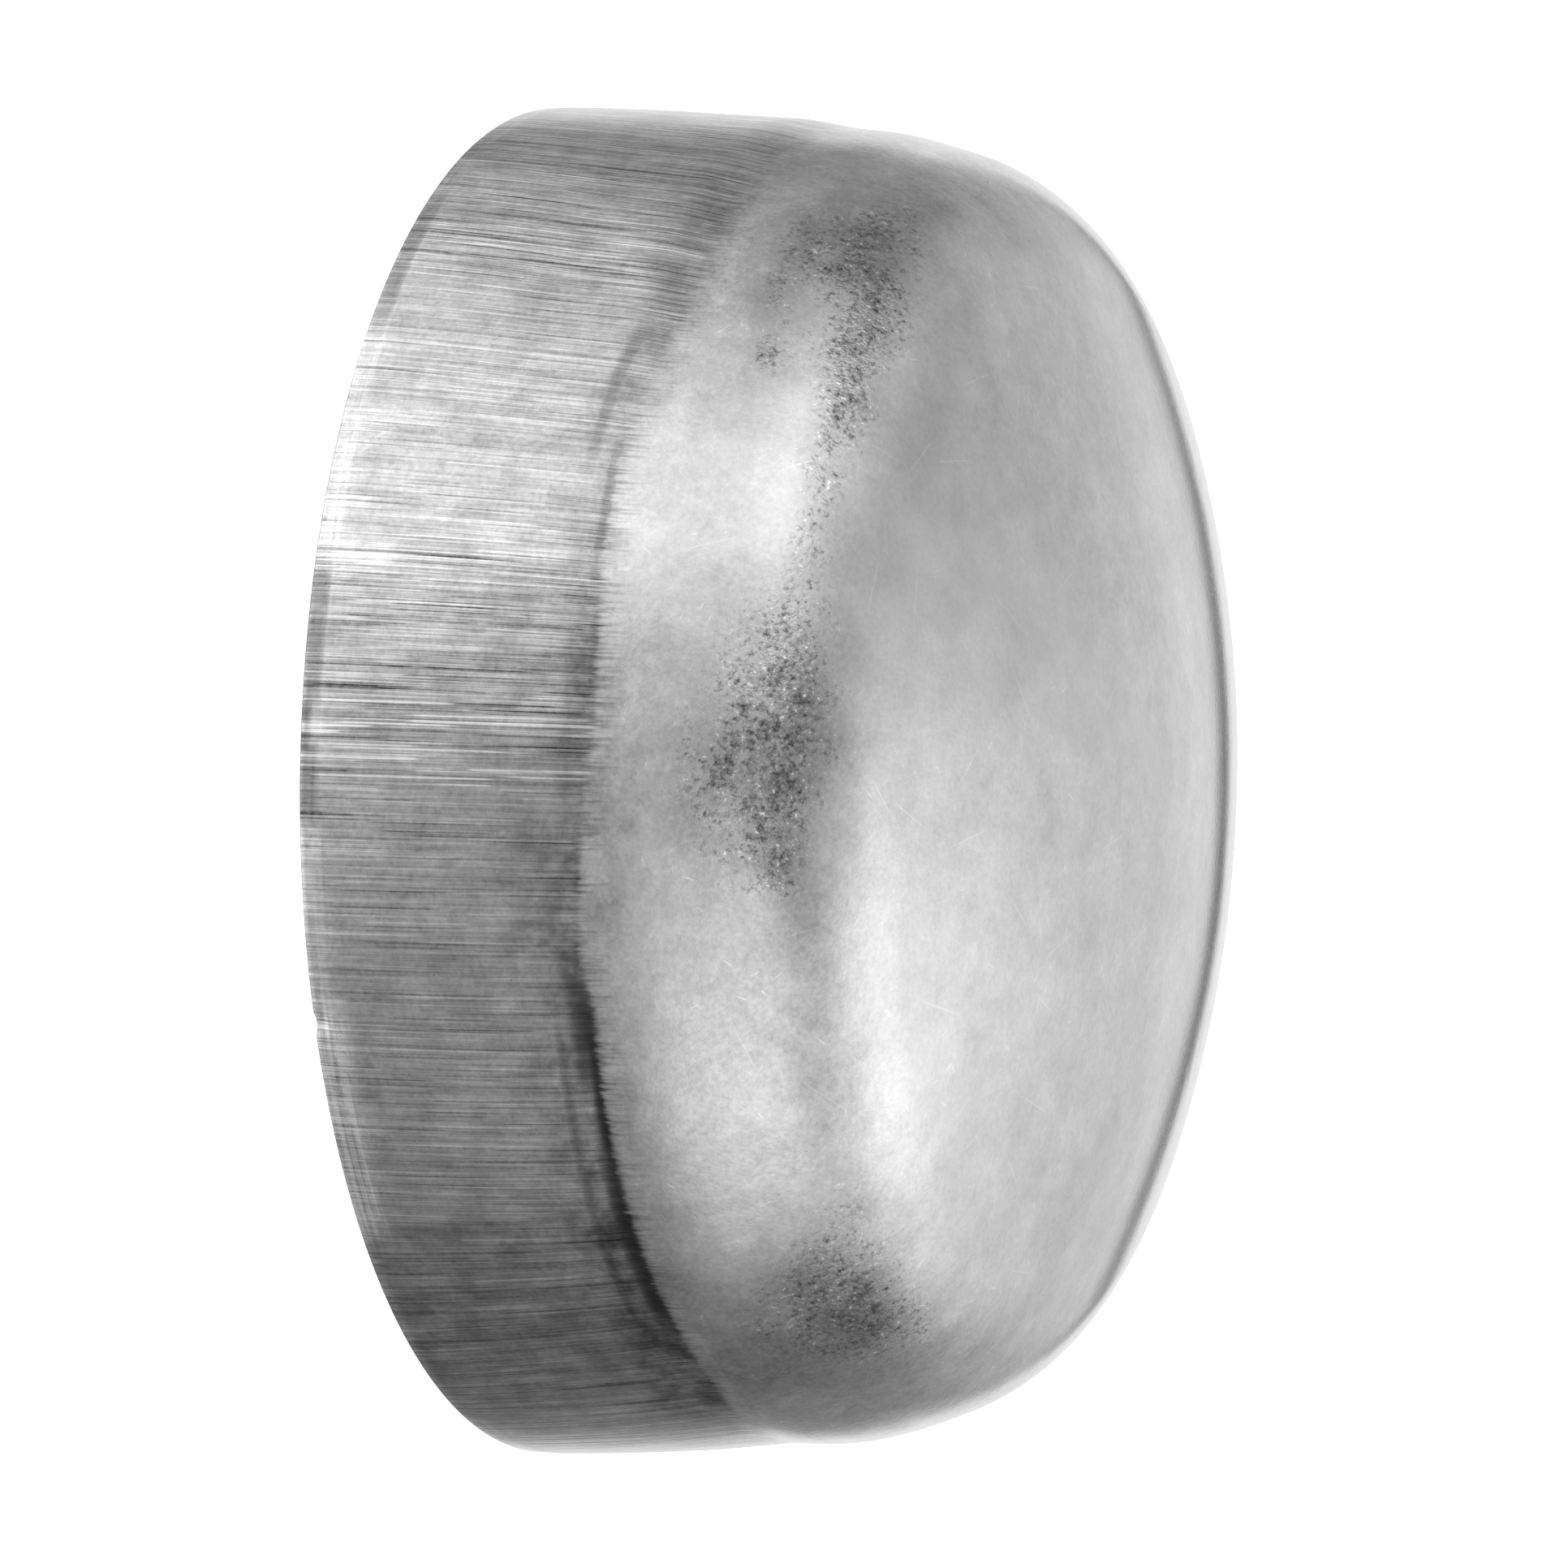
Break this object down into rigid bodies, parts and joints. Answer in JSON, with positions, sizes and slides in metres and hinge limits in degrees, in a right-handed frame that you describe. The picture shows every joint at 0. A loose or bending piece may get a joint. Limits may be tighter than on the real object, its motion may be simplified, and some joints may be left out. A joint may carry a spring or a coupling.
{
  "type": "butt weld cap",
  "caption": "Dished butt weld end cap for closing a pipe: short ground skirt, faint waist and domed crown, hollow inside, with a square turned weld end.",
  "frame": {"origin": "centre of the weld end's flat face, on the plane that the cap rests on", "axes": "+Z along the cap's axis, from the open weld end to the crown; X and Y are alike"},
  "size_m": [0.076, 0.076, 0.0364],
  "materials": {
    "stainless": "belt-ground skirt, satin blasted dome"
  },
  "bodies": {
    "root": {"weld_cap": "stainless"}
  },
  "joints": []
}
